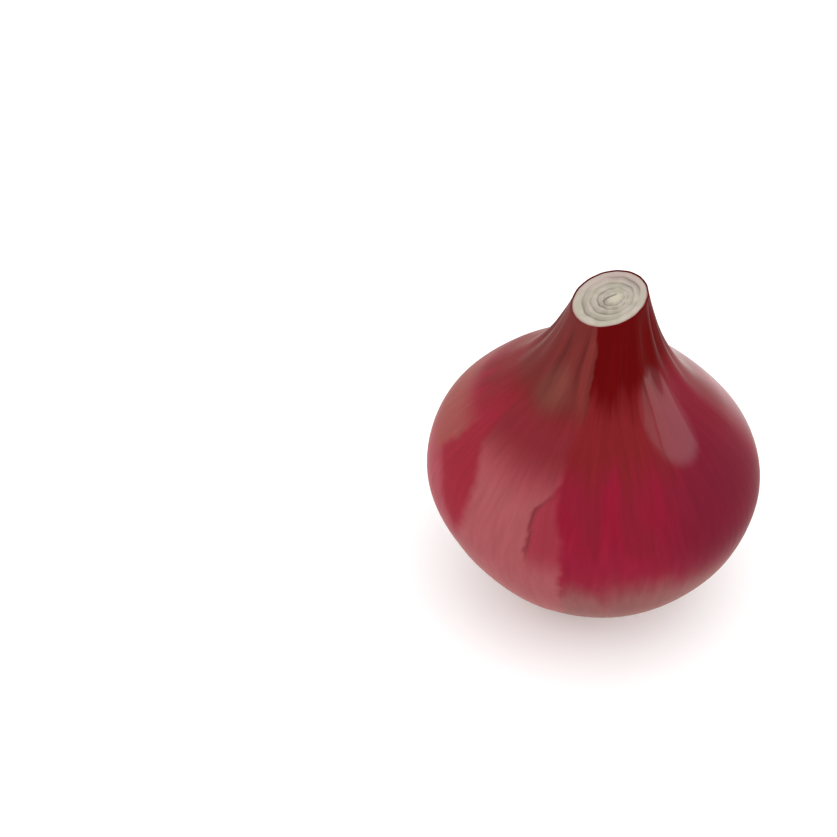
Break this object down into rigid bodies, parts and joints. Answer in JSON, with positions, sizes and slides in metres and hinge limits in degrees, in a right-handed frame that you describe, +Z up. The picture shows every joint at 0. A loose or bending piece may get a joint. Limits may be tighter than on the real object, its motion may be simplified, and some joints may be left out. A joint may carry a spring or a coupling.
{
  "type": "onion",
  "caption": "Whole red onion with dry glossy skin, a pleated neck cut at a slant that shows the pale scale rings, and a short root tuft underneath.",
  "frame": {"origin": "middle of the flat spot under the root tuft, on the surface that the onion rests on", "axes": "+Z up from the root tuft to the neck, +X to the viewer's right, -Y towards the viewer"},
  "size_m": [0.079, 0.081, 0.086],
  "materials": {
    "dry_skin": "glossy papery dry skin, crimson on the belly and dark maroon on the neck, with fine veins from base to neck",
    "scale_flesh": "moist cream cut ends of fleshy scales with grey-brown lines between them",
    "dry_root": "stiff dry grey-green root fibres"
  },
  "bodies": {
    "root": {"bulb": "dry_skin", "neck_flesh": "scale_flesh", "root_tuft": "dry_root"}
  },
  "joints": []
}
